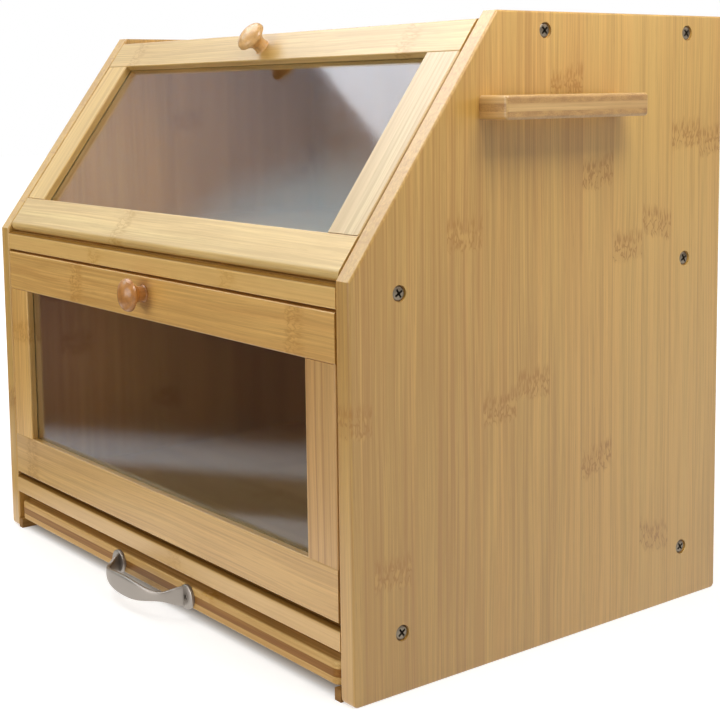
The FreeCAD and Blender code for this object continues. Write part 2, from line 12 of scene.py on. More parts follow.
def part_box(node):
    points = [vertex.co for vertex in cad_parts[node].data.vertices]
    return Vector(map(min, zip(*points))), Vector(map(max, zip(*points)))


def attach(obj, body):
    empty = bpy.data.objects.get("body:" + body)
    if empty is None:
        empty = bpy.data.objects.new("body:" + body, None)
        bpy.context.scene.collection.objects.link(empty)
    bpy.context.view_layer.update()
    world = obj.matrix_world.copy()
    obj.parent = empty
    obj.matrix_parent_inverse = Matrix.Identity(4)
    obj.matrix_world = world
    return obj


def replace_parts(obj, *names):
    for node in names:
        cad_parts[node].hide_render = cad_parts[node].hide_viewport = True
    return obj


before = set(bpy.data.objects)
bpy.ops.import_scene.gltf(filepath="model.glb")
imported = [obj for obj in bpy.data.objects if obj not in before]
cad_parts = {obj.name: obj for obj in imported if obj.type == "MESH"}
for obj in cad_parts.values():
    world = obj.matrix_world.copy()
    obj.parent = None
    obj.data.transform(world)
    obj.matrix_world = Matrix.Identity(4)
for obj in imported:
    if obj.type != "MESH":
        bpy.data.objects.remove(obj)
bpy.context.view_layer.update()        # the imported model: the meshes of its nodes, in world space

bl_info = {
    "name": "Bamboo Bread Box",
    "version": (1, 0, 0),
    "blender": (4, 5, 0),
    "location": "3D View > Sidebar > Bread Box",
    "description": "Dresses a two-door bamboo bread box with a pull-out cutting board",
    "category": "Object",
}

MILLIMETRE = 0.001
MM_PER_METRE = 1000.0

# directions in the model's frame
RIGHT = Vector((1, 0, 0))
BACK = Vector((0, 1, 0))
UP = Vector((0, 0, 1))

SLOPE_RISE = 132.0  # mm, of the leaning door's line
SLOPE_RUN = 98.0


def lean():
    """Up the leaning door and straight out of its face."""
    length = math.hypot(SLOPE_RISE, SLOPE_RUN)
    up = Vector((0, SLOPE_RUN, SLOPE_RISE)) / length
    return up, up.cross(RIGHT)


# ---- colours
def linear(colour):
    """An sRGB hex colour as linear red, green, blue and alpha."""
    channels = [int(colour[i:i + 2], 16) / 255 for i in (1, 3, 5)]
    return [c / 12.92 if c <= 0.04045 else ((c + 0.055) / 1.055) ** 2.4
            for c in channels] + [1.0]


def shade(colour, factors):
    """A linear colour times one factor for each channel."""
    return [channel * factor for channel, factor in zip(colour, factors)] + [1.0]


# what bamboo's own variation does to the colour of a strip
FIBRE_LIGHT = (1.13, 1.14, 1.16)
FIBRE_DARK = (0.84, 0.77, 0.64)
WARM_STREAK = (1.01, 0.98, 0.94)
OLIVE_STREAK = (0.99, 1.00, 0.97)
STRIPE_BROWN = (0.74, 0.60, 0.40)
NODE_BROWN = (0.72, 0.56, 0.20)
JOINT_BROWN = (0.74, 0.60, 0.42)
END_LIGHT = (0.85, 0.76, 0.55)
END_DARK = (0.58, 0.45, 0.26)
# the colour of the painted shade in the gap under a door
PAINTED_SHADE_BROWN = (0.26, 0.19, 0.12)

# what a lathe's cut does to the colour of beech
TURNED_DARK = (0.80, 0.74, 0.66)
TURNED_LIGHT = (1.10, 1.10, 1.12)


# ---- nodes
def add_node(tree, kind, inputs=(), output=0, stops=(), **settings):
    """Adds a node with its settings, links or fills its inputs, and gives one output.

    A kind in capitals is an operation of a Math node. Others may have their operation, or
    the type that they mix, after a space. The inputs are a row, or a dictionary by name or
    number. Stops are a colour ramp's places and linear colours.
    """
    kind, _, mode = f"Math {kind}".partition(" ") if kind.isupper() else kind.partition(" ")
    made = tree.nodes.new("ShaderNode" + kind)
    if mode:
        setattr(made, "data_type" if kind == "Mix" else "operation", mode)
    for name, value in settings.items():
        setattr(made, name, value)
    for index, (place, colour) in enumerate(stops):
        elements = made.color_ramp.elements
        stop = elements[index] if index < 2 else elements.new(place)
        stop.position, stop.color = place, colour
    if not isinstance(inputs, dict):
        inputs = dict(enumerate(inputs))
    for key, value in inputs.items():
        if isinstance(value, NodeSocket):
            tree.links.new(value, made.inputs[key])
        else:
            made.inputs[key].default_value = value
    return made.outputs[output] if made.outputs else made


def start_material(name):
    """An empty node material, and add_node for its tree."""
    material = bpy.data.materials.new(name)
    material.use_nodes = True
    material.node_tree.nodes.clear()
    return material, partial(add_node, material.node_tree)


def dress(node, material):
    """Gives a CAD node one material all over."""
    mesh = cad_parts[node].data
    mesh.materials.clear()
    mesh.materials.append(material)


# ---- bamboo
RAMP_STEPS = 32  # strips that one ramp can tell apart
MARK_REACH = 1000.0  # mm that a ramp value of one stands for
FAR_MARK = 0.999  # a ramp value for no mark
PLAIN_STRIP = ((), 1.0, 0.5)  # no growth nodes, facing up, in a middle tone
DULL = {"coat": 0.05, "specular": 0.2}  # sanded or oiled, with no lacquer

ONE_STRIP = 900.0  # mm, wider than any piece that is a single strip
SEED_STEP = 13.7  # keeps the random numbers of two seeds apart
PLY_STEP = 37.0  # and those of two plies
STRIP_SCATTER = 900.0  # mm that neighbouring strips' patterns are moved apart

# Noise drawn out along the grain: its cycles per millimetre across the grain, along it and
# into the wood, and its detail. Vascular bundles are about 0.5 mm apart. They are drawn
# about 1 mm apart, and the darker ones, which run as hairlines, 2 mm, so that they show.
WAVE = (0.02, 0.006, 0.02), 1.0
FINE_FIBRE = (2.4, 0.020, 2.4), 2.0
FIBRE = (0.85, 0.011, 0.85), 3.0
STREAK = (0.16, 0.0040, 0.16), 2.0
HUE = (0.10, 0.0025, 0.10), 1.0
FLECK = (1.5, 0.07, 1.5), 2.0
HAIRLINE = (0.55, 0.003, 0.55), 2.0
RAGGED_EDGE = (0.35, 0.03, 0.35), 2.0
DASH = (0.80, 0.12, 0.80), 2.0
CURL = (0.42, 0.17, 0.42), 1.0
CUT_BUNDLE = (1.6, 0.0, 1.6), 2.0
CUT_PATCH = (0.12, 0.0, 0.30), 2.0

FIBRE_RANGE = 0.115  # half the range of the mixed noise that spans dark to light
TONE_SWING = 0.35  # how far a strip's own tone moves it toward light or dark
HUE_SWING = 0.12  # and toward olive or pink
WAVE_REACH = 6.0  # mm that the fibres wander to the side
NODE_SLANT = 6.0  # mm that a growth node may lean across its strip, each way
NODE_RAGGED = 10.0  # mm over which its edge wanders
# mm from the node's own line, where its dashes and its curls come in and go out
DASH_BAND = (-2.0, 1.0), (3.0, 9.0)
CURL_BAND = (-11.0, -8.0), (-1.0, 2.0)
TAIL = (4.0, 32.0)
END_GRAIN_COVER = 0.9
PAINTED_SHADE_DEPTH = (3.0, 6.0)  # mm from the front where the painted shade starts to fade, and ends
PAINTED_SHADE_SKIN = (1.9, 1.1)  # mm under the top, over which it comes in


def strip_marks(node, strip, marks):
    """What each strip is like: its two growth nodes, which way they face, and its tone.

    The nodes are red and green, the way they face is blue, and the tone is alpha.
    """
    stops = []
    for index in range(RAMP_STEPS - 1):
        places, facing, tone = marks.get(index, PLAIN_STRIP)
        shares = [place / MARK_REACH + 0.5 for place in places] + [FAR_MARK] * 2
        stops.append((index / RAMP_STEPS, (*shares[:2], facing, tone)))
    share = node("MULTIPLY_ADD", (strip, 1 / RAMP_STEPS, 0.5 / RAMP_STEPS))
    ramp = node("ValToRGB", (share,), stops=stops).node
    ramp.color_ramp.interpolation = "CONSTANT"
    return ramp.outputs["Color"], ramp.outputs["Alpha"]


def random_marks(seed, strips=12, middle=-150.0):
    """Growth nodes for strips cut from different culms: spaced alike, at odd heights."""
    draw = random.Random(seed)
    spacing = sizes().node_spacing
    marks = {}
    for index in range(strips):
        first = draw.uniform(middle - spacing / 2, middle + spacing / 2)
        marks[index] = ((first, first + spacing), draw.choice((1.0, 0.0)), draw.random())
    return marks


def bamboo(name, base, along, across, marks, seed=1, pitch=ONE_STRIP, first=-ONE_STRIP / 2,
           cross_ply=None, mark_strength=1.0, contrast=1.0, stripe_strength=1.0,
           coat=1.0, specular=0.5, soiled_edge=None):
    """Strips of bamboo, planed, glued edge to edge, sanded, and lacquered or oiled.

    The eye gets long pale fibres with olive and pinkish streaks, a brown growth node here
    and there on each strip, thin glue lines, stippled end grain and a soft satin gloss.
    """
    material, node = start_material(name)
    places = node("TexCoord", output="Object")
    facing = node("TexCoord", output="Normal")

    def measured(direction):
        """Millimetres along a direction, which may differ from ply to ply."""
        if isinstance(direction, Vector):
            return node("VectorMath DOT_PRODUCT", (places, direction * MM_PER_METRE),
                        "Value")
        metres = node("VectorMath DOT_PRODUCT", (places, direction), "Value")
        return node("MULTIPLY", (metres, MM_PER_METRE))

    grain, breadth, ply_shift = along, across, 0.0
    if cross_ply:
        outer = node("COMPARE", (measured(UP), *cross_ply))
        grain = node("Mix VECTOR", {0: outer, 4: across, 5: along}, 1)
        breadth = node("Mix VECTOR", {0: outer, 4: along, 5: across}, 1)
        ply_shift = node("MULTIPLY", (outer, PLY_STEP))
    u, v, w = measured(grain), measured(breadth), measured(along.cross(across))
    count = node("MULTIPLY_ADD", (v, 1 / pitch, -first / pitch))
    strip = node("FLOOR", (count,))
    share = node("FRACT", (count,))
    nodes, tone = strip_marks(node, strip, marks)
    key = node("ADD", (node("ADD", (strip, seed * SEED_STEP)), ply_shift))
    chance = node("TexWhiteNoise", {"W": key}, noise_dimensions="1D")
    scatter = node("TexWhiteNoise", {"W": node("ADD", (key, 0.5))}, "Color",
                   noise_dimensions="1D")
    shift = node("VectorMath SCALE", {0: scatter, "Scale": STRIP_SCATTER})
    place = node("VectorMath ADD", (node("CombineXYZ", (v, u, w)), shift))

    def grain_noise(place, pattern):
        rates, detail = pattern
        at = node("VectorMath MULTIPLY", (place, rates))
        return node("TexNoise", {"Vector": at, "Scale": 1.0, "Detail": detail})

    wave = node("MULTIPLY_ADD", (grain_noise(place, WAVE), WAVE_REACH, -WAVE_REACH / 2))
    place = node("VectorMath ADD", (place, node("CombineXYZ", (wave,))))
    fine, fibre, streak, hue, fleck, hairline, ragged, dash, curl, bundle, patch = (
        grain_noise(place, pattern)
        for pattern in (FINE_FIBRE, FIBRE, STREAK, HUE, FLECK, HAIRLINE, RAGGED_EDGE, DASH,
                        CURL, CUT_BUNDLE, CUT_PATCH))

    # fibres: how light the wood is, and whether it turns to olive or to pink
    flecks = node("MapRange", (fleck, 0.56, 0.68))
    mixed = node("MULTIPLY", (fine, 0.25))
    for pattern, weight in ((fibre, 0.45), (streak, 0.30), (flecks, -0.05)):
        mixed = node("MULTIPLY_ADD", (pattern, weight, mixed))
    half_range = FIBRE_RANGE / contrast
    lightness = node("MapRange", (mixed, 0.5 - half_range, 0.5 + half_range), clamp=False)
    own_tone = node("MapRange", (tone, 0.0, 1.0, -TONE_SWING, TONE_SWING))
    lightness = node("ADD", (lightness, own_tone))
    colour = node("Mix RGBA", {
        0: lightness, 6: shade(base, FIBRE_DARK), 7: shade(base, FIBRE_LIGHT)}, 2)
    own_hue = node("MapRange", (chance, 0.0, 1.0, -HUE_SWING, HUE_SWING))
    olive_share = node("MapRange", (node("ADD", (hue, own_hue)), 0.38, 0.62))
    pink, olive = (node("Mix RGBA", {0: 1.0, 6: colour, 7: (*streak_colour, 1.0)}, 2,
                        blend_type="MULTIPLY")
                   for streak_colour in (WARM_STREAK, OLIVE_STREAK))
    colour = node("Mix RGBA", {0: olive_share, 6: pink, 7: olive}, 2)

    # darker bundles, strongest in dark strips
    stripes = node("MULTIPLY", (
        node("MapRange", (hairline, 0.47, 0.36)),
        node("MapRange", (tone, 0.1, 0.8, 0.75, 0.15))))
    stripes = node("MULTIPLY", (stripes, stripe_strength))

    # growth nodes: short brown dashes over pale curls ringed with brown, in a band as wide
    # as the strip, and a faint brown tail
    sort = node("SeparateColor", (nodes,)).node.outputs
    lines = (node("MULTIPLY_ADD", (sort[i], MARK_REACH, -MARK_REACH / 2)) for i in (0, 1))
    gaps = [node("SUBTRACT", (u, line)) for line in lines]
    nearer = node("LESS_THAN", [node("ABSOLUTE", (each,)) for each in gaps[::-1]])
    gap = node("Mix", {0: nearer, 2: gaps[0], 3: gaps[1]})
    gap = node("MULTIPLY", (gap, node("MULTIPLY_ADD", (sort[2], 2.0, -1.0))))
    off_middle = node("SUBTRACT", (share, 0.5))
    slant = node("MapRange", (chance, 0.0, 1.0, -NODE_SLANT, NODE_SLANT))
    slant = node("MULTIPLY", (off_middle, slant))
    ragged = node("MULTIPLY_ADD", (ragged, NODE_RAGGED, -NODE_RAGGED / 2))
    gap = node("ADD", (gap, node("ADD", (slant, ragged))))
    dashes = node("MapRange", (dash, 0.44, 0.58))
    rim = node("ABSOLUTE", (node("SUBTRACT", (curl, 0.5)),))
    rim = node("MapRange", (rim, 0.015, 0.07, 1.0, 0.0))
    above, below = (
        node("MULTIPLY", (
            node("MapRange", (gap, *start)), node("MapRange", (gap, *end, 1.0, 0.0))))
        for start, end in (DASH_BAND, CURL_BAND))
    above = node("MULTIPLY", (above, node("MULTIPLY_ADD", (dashes, 0.80, 0.20))))
    rims = node("MULTIPLY", (below, node("MULTIPLY_ADD", (rim, 0.75, 0.25))))
    tail = node("MULTIPLY", (
        node("MapRange", (gap, *TAIL, 0.30, 0.0)),
        node("GREATER_THAN", (gap, TAIL[0]))))
    tail = node("MULTIPLY", (tail, node("MapRange", (fibre, 0.60, 0.40))))
    mark = node("MAXIMUM", (tail, node("MAXIMUM", (rims, above))))
    mark = node("MULTIPLY", (mark, mark_strength))
    pale = node("MULTIPLY", (below, node("MapRange", (curl, 0.55, 0.66, 0.0, 0.6))))
    pale = node("MULTIPLY", (pale, mark_strength))

    # glue lines are hairlines, drawn 0.5 mm wide to show
    edge = node("SUBTRACT", (0.5, node("ABSOLUTE", (off_middle,))))
    glue = node("MapRange", (node("MULTIPLY", (edge, pitch)), 0.05, 0.5, 0.55, 0.0))

    # end grain: the cut bundles show as dark dots in paler tissue
    cut = node("ABSOLUTE", (node("VectorMath DOT_PRODUCT", (facing, grain), "Value"),))
    cut = node("MapRange", (cut, 0.72, 0.95))
    dots = node("MULTIPLY_ADD", (bundle, 0.45, node("MULTIPLY", (patch, 0.55))))
    dots = node("MapRange", (dots, 0.42, 0.58))
    end_colour = node("Mix RGBA", {
        0: dots, 6: shade(base, END_DARK), 7: shade(base, END_LIGHT)}, 2)

    layers = [(stripes, shade(base, STRIPE_BROWN)), (pale, shade(base, FIBRE_LIGHT)),
              (mark, shade(base, NODE_BROWN)), (glue, shade(base, JOINT_BROWN)),
              (node("MULTIPLY", (cut, END_GRAIN_COVER)), end_colour)]

    # painted shade: an edge that a door closes over is darkened and its gloss dulled, for the
    # shadow in the gap
    if soiled_edge:
        front, top = soiled_edge
        depth = [front + reach for reach in PAINTED_SHADE_DEPTH]
        skin = [top - reach for reach in PAINTED_SHADE_SKIN]
        soil = node("MULTIPLY", (
            node("MapRange", (measured(BACK), *depth, 1.0, 0.0)),
            node("MapRange", (measured(UP), *skin))))
        layers.append((soil, shade(base, PAINTED_SHADE_BROWN)))
        coat = node("MULTIPLY_ADD", (soil, -coat, coat))
        specular = node("MULTIPLY_ADD", (soil, -specular, specular))
    for cover, layer in layers:
        colour = node("Mix RGBA", {0: cover, 6: colour, 7: layer}, 2)

    roughness = node("MULTIPLY_ADD", (mixed, -0.22, 0.53))
    roughness = node("MULTIPLY_ADD", (cut, 0.12, roughness))
    relief = node("MULTIPLY_ADD", (mark, -0.4, mixed))
    bump = node("Bump", {"Strength": 0.35, "Distance": 0.12 * MILLIMETRE, "Height": relief})
    surface = node("BsdfPrincipled", {
        "Base Color": colour, "Roughness": roughness, "Normal": bump,
        "Specular IOR Level": specular,
        "Coat Weight": coat, "Coat Roughness": 0.36, "Coat IOR": 1.55})
    node("OutputMaterial", {"Surface": surface})
    return material


# ---- other finishes
PORE_STRETCH = 0.92  # how far the pores of turned wood are drawn out along its axis


def turned_wood(name, base, axis):
    """Beech turned on a lathe and clear lacquered.

    Fine short pores run along the axis over a plain even ground, under a fuller gloss.
    """
    material, node = start_material(name)
    places = node("TexCoord", output="Object")
    along = node("VectorMath DOT_PRODUCT", (places, axis * MM_PER_METRE), "Value")
    axial = node("VectorMath SCALE", {0: axis, "Scale": along})
    whole = node("VectorMath SCALE", {0: places, "Scale": MM_PER_METRE})
    drawn_out = node("VectorMath SCALE", {0: axial, "Scale": -PORE_STRETCH})
    at = node("VectorMath ADD", (whole, drawn_out))
    # cycles per millimetre
    pores = node("TexNoise", {"Vector": at, "Scale": 1.6, "Detail": 3.0})
    rings = node("TexNoise", {"Vector": at, "Scale": 0.28, "Detail": 1.0})
    mixed = node("MULTIPLY_ADD", (pores, 0.5, rings))
    ground = node("MapRange", (mixed, 0.55, 0.95))
    colour = node("Mix RGBA", {
        0: ground, 6: shade(base, TURNED_DARK), 7: shade(base, TURNED_LIGHT)}, 2)
    roughness = node("MapRange", (pores, 0.3, 0.7, 0.42, 0.32))
    bump = node("Bump", {"Strength": 0.25, "Distance": 0.08 * MILLIMETRE, "Height": pores})
    surface = node("BsdfPrincipled", {
        "Base Color": colour, "Roughness": roughness, "Normal": bump,
        "Coat Weight": 0.5, "Coat Roughness": 0.16})
    node("OutputMaterial", {"Surface": surface})
    return material


def clear_acrylic(name, tint):
    """Cast acrylic sheet, cut and left as cast.

    Clear with a mirror gloss that a faint unevenness softens. Light passes through a
    little dimmed, so that what stands behind it is in half shade.
    """
    material, node = start_material(name)
    places = node("TexCoord", output="Object")
    # cycles per metre: a wave of about 35 mm, and a haze of about 11 mm
    wave = node("TexNoise", {"Vector": places, "Scale": 28.0, "Detail": 1.0})
    haze = node("TexNoise", {"Vector": places, "Scale": 90.0, "Detail": 2.0})
    roughness = node("MapRange", (haze, 0.3, 0.7, 0.045, 0.075))
    bump = node("Bump", {"Strength": 0.12, "Distance": 0.25 * MILLIMETRE, "Height": wave})
    sheet = node("BsdfPrincipled", {
        "Base Color": linear("#DAE3EF"), "Roughness": roughness, "Normal": bump,
        "IOR": 1.49, "Transmission Weight": 1.0})
    dimmed = node("BsdfTransparent", {"Color": tint})
    shadow = node("LightPath", output="Is Shadow Ray")
    node("OutputMaterial", {"Surface": node("MixShader", (shadow, sheet, dimmed))})
    return material


GRIT = 2600.0  # cycles per metre of a plated surface's fine grit


def metal(name, base, roughness, blotch, blotch_scale, wear):
    """Plated steel or die-cast zinc: one metal colour, with handling and tooling marks."""
    material, node = start_material(name)
    places = node("TexCoord", output="Object")
    patch = node("TexNoise", {"Vector": places, "Scale": blotch_scale, "Detail": 3.0})
    grit = node("TexNoise", {"Vector": places, "Scale": GRIT, "Detail": 1.0})
    dark, light = (shade(base, (factor,) * 3) for factor in (1 - blotch, 1 + blotch))
    colour = node("Mix RGBA", {0: patch, 6: dark, 7: light}, 2)
    rough = node("MapRange", (patch, 0.3, 0.7, roughness - wear, roughness + wear))
    bump = node("Bump", {"Strength": 0.15, "Distance": 0.02 * MILLIMETRE, "Height": grit})
    surface = node("BsdfPrincipled", {
        "Base Color": colour, "Roughness": rough, "Normal": bump, "Metallic": 1.0})
    node("OutputMaterial", {"Surface": surface})
    return material


# ---- mesh helpers
SHARP_ANGLE = math.radians(32.0)  # edges that bend more than this stay sharp


def round_angles(count):
    """Angles spaced evenly round a circle."""
    return [2 * math.pi * i / count for i in range(count)]


def around(place, angle, radius, height):
    """A point at an angle, a radius and a height in a frame."""
    return place @ Vector((radius * math.cos(angle), radius * math.sin(angle), height))


def loft(bm, rings):
    """Skins closed rings of points, one to the next, and caps both ends."""
    rows = [[bm.verts.new(point) for point in ring] for ring in rings]
    count = len(rows[0])
    for near, far in zip(rows, rows[1:]):
        for i in range(count):
            j = (i + 1) % count
            bm.faces.new((near[i], near[j], far[j], far[i]))
    bm.faces.new(reversed(rows[0]))
    bm.faces.new(rows[-1])


def add_object(name, data):
    """A new object in the scene."""
    made = bpy.data.objects.new(name, data)
    bpy.context.scene.collection.objects.link(made)
    return made


def finish_mesh(name, bm, material):
    """A new object from mesh code, with one material."""
    mesh = bpy.data.meshes.new(name)
    bm.to_mesh(mesh)
    bm.free()
    mesh.materials.append(material)
    return add_object(name, mesh)


def make_piece(name, bm, body, material):
    """Turns mesh code into a piece that rides on a body, smooth but for its sharp edges."""
    bmesh.ops.recalc_face_normals(bm, faces=bm.faces)
    for face in bm.faces:
        face.smooth = True
    for edge in bm.edges:
        if edge.is_manifold and edge.calc_face_angle(0.0) > SHARP_ANGLE:
            edge.smooth = False
    piece = finish_mesh(name, bm, material)
    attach(piece, body)
    return piece


def axes_at(origin, x, y, z):
    """A frame at a point from its three axes."""
    return Matrix.Translation(origin) @ Matrix((x, y, z)).transposed().to_4x4()


def frame_toward(origin, outward, turn=0.0):
    """A frame at a point with its Z pointing outward, turned about it."""
    outward = outward.normalized()
    side = outward.cross(UP)
    if side.length < 0.1:
        side = outward.cross(RIGHT)
    side.normalize()
    return (axes_at(origin, side, outward.cross(side), outward)
            @ Matrix.Rotation(turn, 4, "Z"))


def cross_radius(angle, arm, half_width):
    """How far the outline of a cross is from its middle, at an angle."""
    c, s = abs(math.cos(angle)), abs(math.sin(angle))
    tiny = 1e-9
    return max(min(arm / max(c, tiny), half_width / max(s, tiny)),
               min(half_width / max(c, tiny), arm / max(s, tiny)))


SCREW_RIM = 0.18 * MILLIMETRE  # height of a countersunk head's edge
CROSS_ARM = 0.60  # of the head's radius
CROSS_HALF_WIDTH = 0.135
SCREW_STEPS = 48


def screw_rings(head_radius, shank_radius, length, crown, place):
    """A countersunk cross-recess screw, as rings from its tip to the foot of the recess."""
    arm, half_width = CROSS_ARM * head_radius, CROSS_HALF_WIDTH * head_radius
    corner = math.atan2(half_width, arm)
    angles = set(round_angles(SCREW_STEPS))
    for quarter in range(4):
        turn = quarter * math.pi / 2
        angles |= {turn + corner, turn + math.pi / 2 - corner, turn + math.pi / 4}
    angles = sorted(angles)
    cone = head_radius - shank_radius
    round_rings = [[around(place, a, radius, height) for a in angles]
                   for radius, height in (
                       (0.05 * shank_radius, -length),
                       (shank_radius, -length + 3 * shank_radius),
                       (shank_radius, -SCREW_RIM - cone),
                       (head_radius, -SCREW_RIM),
                       (head_radius, -0.4 * SCREW_RIM),
                       (0.96 * head_radius, 0.0),
                       (0.84 * head_radius, 0.6 * crown),
                       (0.70 * head_radius, crown))]
    cross_rings = [[around(place, a, share * cross_radius(a, arm, half_width), height)
                    for a in angles]
                   for share, height in (
                       (1.0, crown),
                       (0.80, crown - 0.45 * head_radius),
                       (0.30, crown - 0.75 * head_radius))]
    return round_rings + cross_rings


# ---- settings
def colour_setting(name, description, default):
    """A colour that a user may change."""
    return FloatVectorProperty(name=name, description=description, subtype="COLOR", size=4,
                               min=0.0, max=1.0, default=linear(default))


def length_setting(name, description, default, low, high):
    """A length that a user may change, given here in millimetres."""
    return FloatProperty(name=name, description=description, unit="LENGTH",
                         default=default * MILLIMETRE, min=low * MILLIMETRE,
                         max=high * MILLIMETRE)


class BreadBoxColours(PropertyGroup):
    side: colour_setting("Side panels", "Bamboo of the side panels", "#D0A556")
    slope: colour_setting("Leaning door", "Bamboo of the upper door's frame", "#D8B87C")
    front: colour_setting("Upright door", "Bamboo of the lower door's frame", "#DEAF60")
    level: colour_setting("Level panels", "Bamboo of the shelf, top and bottom", "#F0CB81")
    inside: colour_setting("Inside", "Bamboo of the back panel and runners", "#CCA56A")
    holder: colour_setting("Knife holder", "Bamboo of the knife holder", "#CFA76B")
    board: colour_setting("Board", "Outer plies of the cutting board", "#E2BF80")
    core: colour_setting("Core", "Crossed core ply of the cutting board", "#99692A")
    knob_upper: colour_setting("Upper knob", "Turned wood of the upper knob", "#DCAE6E")
    knob_lower: colour_setting("Lower knob", "Turned wood of the lower knob", "#C1843F")
    nickel: colour_setting("Nickel", "Satin nickel of the strap handle", "#A29C96")
    zinc: colour_setting("Zinc", "Zinc plating of the screws", "#857C6E")
    pane: colour_setting("Pane", "Light that the panes let through", "#B8BAB9")


class BreadBoxSizes(PropertyGroup):
    strip_width: FloatProperty(
        name="Strip width", description="Width of the bamboo strips in the panels, in mm",
        default=24.7, min=5.0, max=60.0)
    strip_start: FloatProperty(
        name="Strip start", description="Where the first strip of a side starts, in mm",
        default=-138.2)
    node_spacing: FloatProperty(
        name="Node spacing", description="Distance between a culm's growth nodes, in mm",
        default=250.0, min=80.0, max=450.0)
    strap_thickness: length_setting(
        "Strap thickness", "Thickness of the handle's strap", 2.6, 1, 6)
    handle_half_span: length_setting(
        "Handle half span", "From the handle's middle to its bend", 36.2, 20, 60)
    handle_reach: length_setting(
        "Handle reach", "How far the handle's grip stands off the board", 21.5, 10, 60)
    neck_half_width: length_setting(
        "Neck half width", "Half the width of the handle's narrow necks", 2.6, 1, 6)
    grip_half_width: length_setting(
        "Grip half width", "Half the width of the handle's grip", 6.2, 2, 10)
    screw_seed: IntProperty(
        name="Screw turn", description="Which way the screws' crosses came to rest",
        default=4, min=0)


def colours():
    return bpy.context.scene.bread_box_colours


def sizes():
    return bpy.context.scene.bread_box_sizes


# ---- operators
def dress_bamboo(node, finish, *looks, **options):
    """Gives a CAD node bamboo of its own."""
    dress(node, bamboo(f"{finish}_bamboo_{node}", *looks, **options))


class DressSidePanels(Operator):
    """Side panels: upright bamboo strips glued edge to edge"""
    bl_idname = "bread_box.side_panels"
    bl_label = "Side panels"

    def execute(self, context):
        # growth nodes and tones of the right panel's strips, from the front
        right_marks = {index: (places, 1.0, tone) for index, (places, tone) in enumerate((
            ((147.0,), 0.0), ((66.0,), 0.0), ((), 0.05), ((234.0,), 0.05),
            ((140.0,), 0.45), ((150.0,), 0.35), ((310.0,), 0.60), ((261.0, 100.0), 0.65),
            ((218.0,), 0.95), ((230.0, 46.0), 0.90), ((280.0,), 0.95), ((276.0,), 0.85)))}
        left_marks = random_marks(5, middle=60.0)
        for node, marks, seed in (("right_side_panel", right_marks, 3),
                                  ("left_side_panel", left_marks, 8)):
            dress_bamboo(node, "lacquered", colours().side, UP, BACK, marks, seed,
                         sizes().strip_width, sizes().strip_start)
        return {"FINISHED"}


class DressLevelPanels(Operator):
    """Top, shelf and bottom: bamboo strips from side to side. Back: upright strips"""
    bl_idname = "bread_box.level_panels"
    bl_label = "Level and back panels"

    def execute(self, context):
        level, pitch = colours().level, sizes().strip_width
        shelf_marks = random_marks(22)
        shelf_marks[0] = ((-71.0, 82.0), 1.0, 0.6)
        # the shelf's and the bottom's top front edges get painted shade, for the gap a door
        # closes over
        for node, base, along, across, marks, seed, soiled in (
                # the shelf is a little lighter: painted light, for the light its front edge
                # catches from above
                ("middle_shelf", shade(level, (1.06, 1.06, 1.00)), RIGHT, BACK, shelf_marks,
                 11, True),
                ("bottom_panel", shade(level, (0.90, 0.88, 0.82)), RIGHT, BACK,
                 random_marks(21), 12, True),
                ("top_panel", level, RIGHT, BACK, random_marks(23), 13, False),
                ("back_panel", colours().inside, UP, RIGHT,
                 random_marks(24, 18, 40.0), 14, False)):
            low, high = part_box(node)
            first = (low.x if across is RIGHT else low.y) * MM_PER_METRE
            edge = (low.y * MM_PER_METRE, high.z * MM_PER_METRE) if soiled else None
            dress_bamboo(node, "lacquered", base, along, across, marks, seed, pitch, first,
                         soiled_edge=edge)
        return {"FINISHED"}


class DressRunners(Operator):
    """Board runners and stop blocks: small bamboo strips inside the carcass"""
    bl_idname = "bread_box.runners"
    bl_label = "Runners and stop blocks"

    def execute(self, context):
        # the runners' bamboo is darkened far below the inside colour: painted shade, for the
        # shadow they sit in under the board
        runner = bamboo("sanded_bamboo_runners",
                        shade(colours().inside, (0.60, 0.52, 0.36)), BACK, RIGHT,
                        {0: ((-40.0, 90.0), 1.0, 0.5)}, 31, **DULL)
        block = bamboo("sanded_bamboo_stop_blocks", colours().inside, UP, RIGHT, {}, 33)
        dress("left_board_runner", runner)
        dress("right_board_runner", runner)
        dress("lower_stop_blocks", block)
        return {"FINISHED"}


def dress_door(door, base, up, seed, *members):
    """The members of a door's frame, bottom, top, left and right, each one strip wide.

    Each has growth nodes, its own share of the base colour, a tone and stripes.
    """
    parts = ("bottom_rail", "top_rail", "left_stile", "right_stile")
    for number, (part, (places, factors, tone, stripes)) in enumerate(zip(parts, members)):
        along, across = (RIGHT, up) if part.endswith("rail") else (up, RIGHT)
        dress_bamboo(f"{door}_{part}", "lacquered", shade(base, factors), along, across,
                     {0: (places, 1.0, tone)}, seed + number, mark_strength=0.8,
                     contrast=1.2, stripe_strength=stripes)


class DressLowerDoor(Operator):
    """Lower door: a frame of four single bamboo strips"""
    bl_idname = "bread_box.lower_door"
    bl_label = "Lower door frame"

    def execute(self, context):
        dress_door("lower", colours().front, UP, 41,
                   ((-171.0,), (0.87, 0.90, 0.92), 0.5, 1.0),
                   ((-95.0, 146.0), (1.02, 1.02, 1.00), 0.5, 1.0),
                   ((144.0,), (1.06, 1.06, 1.06), 0.5, 1.0),
                   ((), (0.86, 0.85, 0.99), 0.2, 1.6))
        return {"FINISHED"}


class DressUpperDoor(Operator):
    """Upper door: a leaning frame of four single bamboo strips"""
    bl_idname = "bread_box.upper_door"
    bl_label = "Upper door frame"

    def execute(self, context):
        dress_door("upper", colours().slope, lean()[0], 51,
                   ((-48.0,), (1.04, 1.04, 0.90), 0.5, 1.0),
                   ((-163.0, 133.0), (0.93, 0.88, 0.68), 0.5, 1.0),
                   ((), (1.06, 0.98, 0.66), 0.4, 1.2),
                   ((), (0.86, 0.88, 0.98), 0.5, 1.0))
        return {"FINISHED"}


